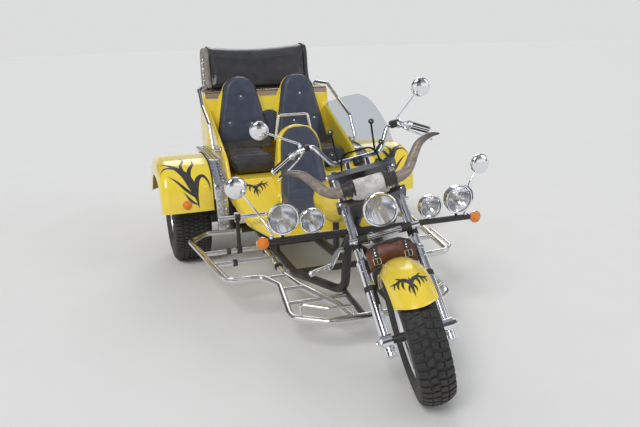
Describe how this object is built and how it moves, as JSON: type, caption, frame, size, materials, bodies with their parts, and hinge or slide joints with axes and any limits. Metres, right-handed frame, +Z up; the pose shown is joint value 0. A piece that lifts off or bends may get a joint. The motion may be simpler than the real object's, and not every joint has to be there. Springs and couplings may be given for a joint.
{
  "type": "motor trike",
  "caption": "Three-seat motor trike: steered raked fork, tubular frame, moulded seat body, spot lamps and wide rear wheels.",
  "frame": {"origin": "on the ground under the middle of the length and width", "axes": "+Z up, -Y forward, +X to the vehicle's left; +Y is the long axis"},
  "size_m": [1.9, 3.588, 1.528],
  "materials": {
    "yellow_shell": "glossy gel coat",
    "yellow_paint": "glossy",
    "black_frame": "satin",
    "chrome": "polished",
    "stainless": "polished tube",
    "tread_plate": "polished, raised pattern",
    "engine": "cast",
    "seat_vinyl": "matt",
    "roll_vinyl": "satin",
    "brown_leather": "worn",
    "horn": "semi-polished horn",
    "hide": "short hair hide",
    "rubber": "matt",
    "tyre": "dusty",
    "amber": "translucent",
    "red_lens": "translucent",
    "lens": "clear",
    "screen": "clear sheet",
    "mirror": "mirror",
    "end_cap": "matt",
    "plate": "blank",
    "decal": "flat film"
  },
  "bodies": {
    "frame": {"body_shell": "yellow_shell", "seat_back_pad_right": "seat_vinyl", "seat_back_pad_left": "seat_vinyl", "seat_cushion_right": "seat_vinyl", "seat_cushion_left": "seat_vinyl", "centre_pad": "seat_vinyl", "rider_seat": "seat_vinyl", "rider_grab_bar": "chrome", "fuel_tank": "yellow_paint", "tank_cap": "chrome", "rear_fender_right": "yellow_shell", "rear_fender_left": "yellow_shell", "fender_markers": "amber", "tread_strip_right": "tread_plate", "tread_strip_left": "tread_plate", "luggage_roll": "roll_vinyl", "roll_end_caps": "end_cap", "grab_rail_right": "chrome", "grab_rail_left": "chrome", "chassis": "black_frame", "rear_axle": "black_frame", "engine": "engine", "exhausts": "chrome", "rear_bumper": "chrome", "tail_lamps": "red_lens", "number_plate": "plate", "side_bar_right": "stainless", "side_bar_left": "stainless", "rider_pegs": "chrome", "passenger_rests": "chrome", "lamp_bar": "black_frame", "spot_lamps_large": "chrome", "spot_lamps_small": "chrome", "turn_signals": "amber", "side_mirrors": "chrome"},
    "fork": {"fork_legs": "chrome", "fork_yokes": "chrome", "fork_brace": "chrome", "handlebar": "chrome", "grips": "rubber", "bar_mirrors": "chrome", "brake_hose": "rubber", "levers": "chrome", "windscreen": "screen", "screen_stays": "black_frame", "headlamp": "chrome", "horn_mount": "hide", "horns": "horn", "tool_roll": "brown_leather", "front_fender": "yellow_paint"},
    "front_wheel": {"front_tyre": "tyre", "front_rim": "chrome"},
    "rear_wheel_right": {"rear_tyre_right": "tyre", "rear_rim_right": "chrome"},
    "rear_wheel_left": {"rear_tyre_left": "tyre", "rear_rim_left": "chrome"}
  },
  "joints": [
    {"name": "steering", "type": "hinge", "parent": "frame", "child": "fork", "pos_m": [0, -0.7, 0.9], "axis": [0, 0.7193, 0.6947], "range_deg": [-17, 53]},
    {"name": "front_wheel_spin", "type": "hinge", "parent": "fork", "child": "front_wheel", "pos_m": [-0.03863, -1.47164, 0.3201], "axis": [0.9511, -0.2147, 0.2223], "continuous": true},
    {"name": "rear_wheel_right_spin", "type": "hinge", "parent": "frame", "child": "rear_wheel_right", "pos_m": [-0.735, 0.96, 0.335], "axis": [1, 0, 0], "continuous": true},
    {"name": "rear_wheel_left_spin", "type": "hinge", "parent": "frame", "child": "rear_wheel_left", "pos_m": [0.735, 0.96, 0.335], "axis": [1, 0, 0], "continuous": true}
  ]
}
